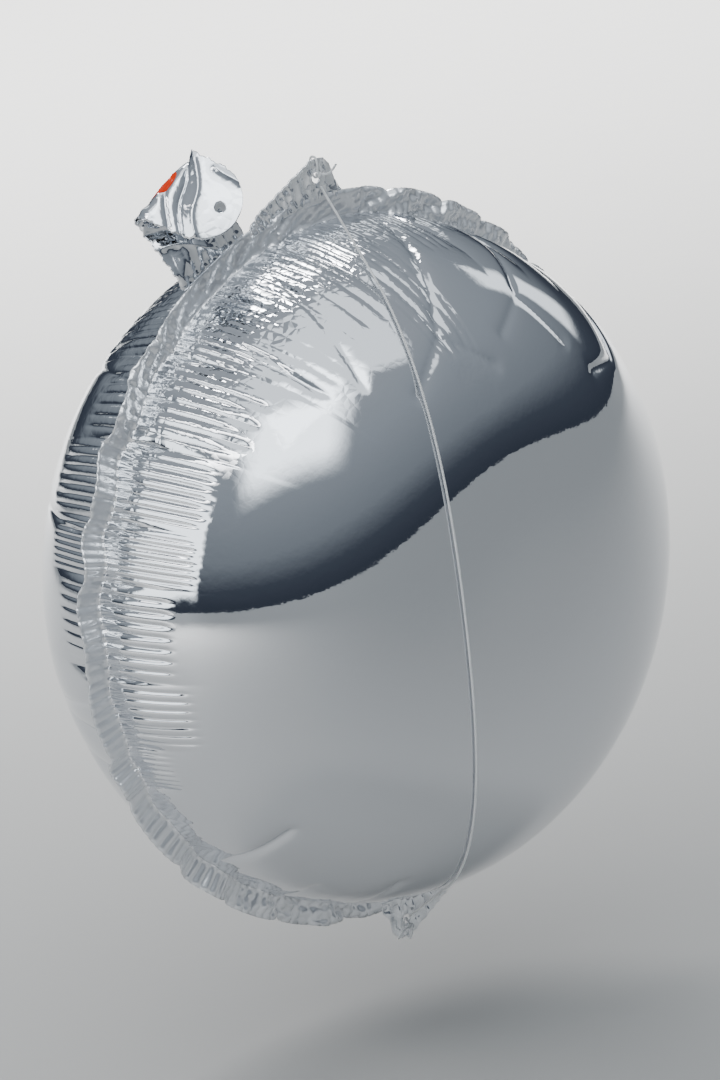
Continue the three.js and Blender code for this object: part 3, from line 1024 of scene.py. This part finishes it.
def ear_relief(x, z, share, seed):
    """Height of the ear's gathers, calm at its foot, along its top and round its hole."""
    fan = x / (1 + EAR_FAN * (z + EAR_FAN_FROM))
    pleats = np.abs(np.sin(np.pi * fan / EAR_PLEAT + 0.5 * np.sin(fan * 0.35))) - RIBS_MEAN
    height = EAR_PLEAT_HEIGHT * pleats + flat_crumple(x, z, seed=seed, **EAR_CRUMPLE)
    rise = smooth(share * EAR_RISE) * at_least(EAR_TOP_CALM, smooth((1 - share) * EAR_TOP_FADE))
    off_hole = smooth((np.hypot(x, z) - EAR_HOLE_RADIUS) / EAR_HOLE_FADE)
    return height * rise * at_least(EAR_HOLE_CALM, off_hole)


def ear_film(name, node, side, seed):
    """A gathered ear: a pleated tab that rises from the seam to a peak round its tie hole."""
    rows, columns = EAR_GRID
    x_rim, top_rim = np.transpose(EAR_OUTLINE)
    x = np.linspace(x_rim[0], x_rim[-1], columns)
    foot = np.sqrt((RIM_RADIUS - EAR_OVERLAP) ** 2 - x**2) - EAR_RADIUS
    peak = np.interp(x, x_rim, top_rim)
    share, x = np.meshgrid(np.linspace(0, 1, rows), x, indexing="ij")
    z = foot + (peak - foot) * share
    left, right = (x - x_rim[0]) / EAR_LEAN_FADES[0], (x_rim[-1] - x) / EAR_LEAN_FADES[1]
    x = x + EAR_LEAN * share * smooth(left) * smooth(right)
    x, z, share = x.ravel(), z.ravel(), share.ravel()
    quads = open_hole(x, z, grid_quads(rows, columns), (0, 0), EAR_HOLE_RADIUS)
    height = ear_relief(x, z, share, seed)
    sheets = [
        np.stack([side * x, height + off, side * (z + EAR_RADIUS)], -1)
        for off in (EAR_HALF, -EAR_HALF)
    ]
    new_piece(name, node, *sheet_solid(*sheets, quads), EAR_FILM, "sealed_film")


# Thread

def spline(points, per_span):
    """A smooth curve through points, with the given number of steps between two of them."""
    points = np.asarray(points, float)
    padded = np.concatenate([[2 * points[0] - points[1]], points, [2 * points[-1] - points[-2]]])
    out = []
    for i in range(len(points) - 1):
        p0, p1, p2, p3 = padded[i : i + 4]
        for k in range(per_span):
            t = k / per_span
            straight = 2 * p1 + (p2 - p0) * t
            curved = (2 * p0 - 5 * p1 + 4 * p2 - p3) * t**2 + (3 * p1 - p0 - 3 * p2 + p3) * t**3
            out.append(0.5 * (straight + curved))
    out.append(points[-1])
    return np.array(out)


def tube(path, sides, closed=False):
    """Points and faces of a round thread along a path, with its ends closed."""
    path = np.asarray(path, float)
    count = len(path)
    if closed:
        ahead, behind = np.roll(path, -1, 0), np.roll(path, 1, 0)
    else:
        ahead = np.concatenate([path[1:], path[-1:]])
        behind = np.concatenate([path[:1], path[:-1]])
    way = ahead - behind
    way /= np.linalg.norm(way, axis=1)[:, None]
    side = np.cross(way[0], [0.3, 0.5, 0.81])
    turn = np.arange(sides) / sides * 2 * np.pi
    rings = []
    for w in way:
        side = side - w * (side @ w)
        side /= np.linalg.norm(side)
        rings.append(np.cos(turn)[:, None] * side + np.sin(turn)[:, None] * np.cross(w, side))
    points = (path[:, None] + THREAD_RADIUS * np.array(rings)).reshape(-1, 3)
    faces = []
    for i in range(count if closed else count - 1):
        j = (i + 1) % count
        for k in range(sides):
            m = (k + 1) % sides
            faces.append([i * sides + k, i * sides + m, j * sides + m, j * sides + k])
    if not closed:
        faces.append(list(range(sides))[::-1])
        faces.append([(count - 1) * sides + k for k in range(sides)])
    return points, faces


def joined(parts):
    points, faces, start = [], [], 0
    for part_points, part_faces in parts:
        points.append(part_points)
        faces += [[i + start for i in face] for face in part_faces]
        start += len(part_points)
    return np.concatenate(points), faces


def face_thread():
    """The taut thread from knot to knot, over the film in an upright plane turned to the left."""
    sideways = math.tan(THREAD_SIDE)
    knot_out = KNOT_DEPTH * math.cos(THREAD_SIDE)
    start = np.array([-sideways * knot_out, -knot_out, EAR_RADIUS - KNOT_HEIGHT - THREAD_BELOW_KNOT])
    _, radius, depth, out_r, out_d = (column[::THREAD_EVERY] for column in MERIDIAN)
    radius, depth = radius + THREAD_OFF * out_r, depth + THREAD_OFF * out_d
    x = -sideways * depth
    inside = np.abs(x) < radius
    slack = (start[2] - radius) * out_r + (knot_out - depth) * out_d
    film = [
        (x[i], -depth[i], math.sqrt(radius[i] ** 2 - x[i] ** 2))
        for i in range(len(radius))
        if inside[i] and slack[i] < 0
    ]
    first = np.array(film[0])
    half = np.array([start + (first - start) * share for share in (0, 0.25, 0.5, 0.75)] + film)
    route = spline(np.concatenate([half, half[::-1] * [1, 1, -1]]), THREAD_STEPS)
    new_piece("thread_over_face", "face_thread", *tube(route, THREAD_SIDES), THREAD, "thread")


def ear_tie(name, node, side):
    """The loop through the ear, a real knot in front of it and a short cut end."""
    t = np.linspace(0, 2 * np.pi, LOOP_STEPS, endpoint=False)
    loop = np.stack([
        LOOP_WAVER * np.sin(3 * t),
        -LOOP_HALF[0] * np.sin(t),
        LOOP_MIDDLE - LOOP_HALF[1] * np.cos(t),
    ], -1)
    u = np.linspace(0, 2 * np.pi, KNOT_STEPS, endpoint=False)
    knot = np.stack([
        np.sin(u) + 2 * np.sin(2 * u),
        np.cos(u) - 2 * np.cos(2 * u),
        -np.sin(3 * u),
    ], -1) * KNOT_SIZE + [0, -KNOT_DEPTH + KNOT_IN, KNOT_HEIGHT]
    end = spline(np.array(CUT_END) + [0, -KNOT_DEPTH, KNOT_HEIGHT], CUT_END_STEPS)
    points, faces = joined([
        tube(loop, TIE_SIDES, closed=True),
        tube(knot, TIE_SIDES, closed=True),
        tube(end, TIE_SIDES),
    ])
    cos, sin = math.cos(THREAD_SIDE), -side * math.sin(THREAD_SIDE)
    x, y = points[:, 0] * cos - points[:, 1] * sin, points[:, 0] * sin + points[:, 1] * cos
    placed = np.stack([side * x, y, side * (points[:, 2] + EAR_RADIUS)], -1)
    new_piece(name, node, placed, faces, THREAD, "thread")


# Floor, light and camera

def floor():
    z = cad_box[0].z - FLOOR_DROP
    mesh = bpy.data.meshes.new("floor")
    corners = [(FLOOR_HALF * x, FLOOR_HALF * y, z) for x, y in ((-1, -1), (1, -1), (1, 1), (-1, 1))]
    mesh.from_pydata(corners, [], [[0, 1, 2, 3]])
    made, nodes, links, shader = material("pale_floor", FLOOR_TONE, 0.0, 0.6)
    grain = texture(nodes, links, "ShaderNodeTexNoise", scale=30.0, Detail=3.0)
    links.new(ranged(nodes, links, grain.outputs["Fac"], 0.55, 0.7), shader.inputs["Roughness"])
    mesh.materials.append(made)
    piece = bpy.data.objects.new("floor", mesh)
    bpy.context.scene.collection.objects.link(piece)


def floor_lamp(name, place, size, power, spread):
    light = bpy.data.lights.new(name, "AREA")
    light.shape = "RECTANGLE"
    light.size, light.size_y = size
    light.energy = power
    light.spread = math.radians(spread)
    lamp = bpy.data.objects.new(name, light)
    lamp.location = place
    bpy.context.scene.collection.objects.link(lamp)


def camera():
    low, high = cad_box
    middle = (low + high) / 2
    level = math.cos(VIEW_ELEVATION)
    sideways, forward = math.sin(VIEW_AZIMUTH) * level, math.cos(VIEW_AZIMUTH) * level
    back = Vector((sideways, -forward, math.sin(VIEW_ELEVATION)))
    data = bpy.data.cameras.new("camera")
    data.lens = LENS
    distance = VIEW_HEIGHT / 2 / (data.sensor_width / 2 / LENS)
    data.clip_end = VIEW_REACH
    made = bpy.data.objects.new("camera", data)
    made.location = middle + back * distance
    made.rotation_mode = "QUATERNION"
    made.rotation_quaternion = back.to_track_quat("Z", "Y") @ Quaternion((0, 0, 1), -VIEW_ROLL)
    bpy.context.scene.collection.objects.link(made)
    bpy.context.scene.camera = made


def along_axis(nodes, links, way, axis):
    """How far a direction points along an axis."""
    node = nodes.new("ShaderNodeVectorMath")
    node.operation = "DOT_PRODUCT"
    links.new(way, node.inputs[0])
    node.inputs[1].default_value = axis
    return node.outputs["Value"]


def soft_step(nodes, links, value, start, end):
    node = nodes.new("ShaderNodeMapRange")
    node.interpolation_type = "SMOOTHSTEP"
    node.inputs["From Min"].default_value = start
    node.inputs["From Max"].default_value = end
    links.new(value, node.inputs["Value"])
    return node.outputs["Result"]


def panel_glow(nodes, links, way, towards, wide, high, edge, brightness):
    """Light of one soft-edged panel, by the direction of view."""
    facing = Vector(towards).normalized()
    side = Vector((0, 0, 1)).cross(facing).normalized()
    lit = soft_step(nodes, links, along_axis(nodes, links, way, facing), *PANEL_SIDE_FADE)
    for axis, half in ((side, wide), (facing.cross(side), high)):
        off = calculated(nodes, links, "ABSOLUTE", along_axis(nodes, links, way, axis))
        inside = soft_step(nodes, links, off, half + edge, half - edge)
        lit = calculated(nodes, links, "MULTIPLY", lit, inside)
    return calculated(nodes, links, "MULTIPLY", lit, brightness)


def studio_room():
    """The studio round the balloon: dim walls, a paler ceiling and soft lit panels on its sides."""
    made = bpy.data.worlds.new("studio")
    bpy.context.scene.world = made
    made.use_nodes = True
    nodes, links = made.node_tree.nodes, made.node_tree.links
    way = nodes.new("ShaderNodeTexCoord").outputs["Generated"]
    room = nodes["Background"]
    up = along_axis(nodes, links, way, (0, 0, 1))
    links.new(colour_ramp(nodes, links, up, ROOM_SHADES), room.inputs["Color"])
    glow = 0.0
    for panel in PANELS:
        glow = calculated(nodes, links, "ADD", glow, panel_glow(nodes, links, way, **panel))
    lit = nodes.new("ShaderNodeBackground")
    lit.inputs["Color"].default_value = (*PANEL_LIGHT, 1)
    links.new(glow, lit.inputs["Strength"])
    both = nodes.new("ShaderNodeAddShader")
    links.new(room.outputs[0], both.inputs[0])
    links.new(lit.outputs[0], both.inputs[1])
    links.new(both.outputs[0], nodes["World Output"].inputs["Surface"])


# Everything in its place

film_panel("front_film", "front_panel", 1, FRONT_CREASES, FRONT_FOLDS, FRONT_SEED, FRONT_FILM)
film_panel("back_film", "back_panel", -1, BACK_CREASES, BACK_FOLDS, BACK_SEED, BACK_FILM)
ear_film("top_ear_film", "top_ear", 1, TOP_EAR_SEED)
ear_film("bottom_ear_film", "bottom_ear", -1, BOTTOM_EAR_SEED)
tail_film("tail_inner", "tail_inner_film", INNER_LAYER)
tail_film("tail_outer", "tail_outer_film", OUTER_LAYER)
tail_mark()
tail_sleeve()
face_thread()
ear_tie("top_thread_tie", "top_tie", 1)
ear_tie("bottom_thread_tie", "bottom_tie", -1)

floor()
studio_room()
for lamp in LAMPS:
    floor_lamp(**lamp)
camera()
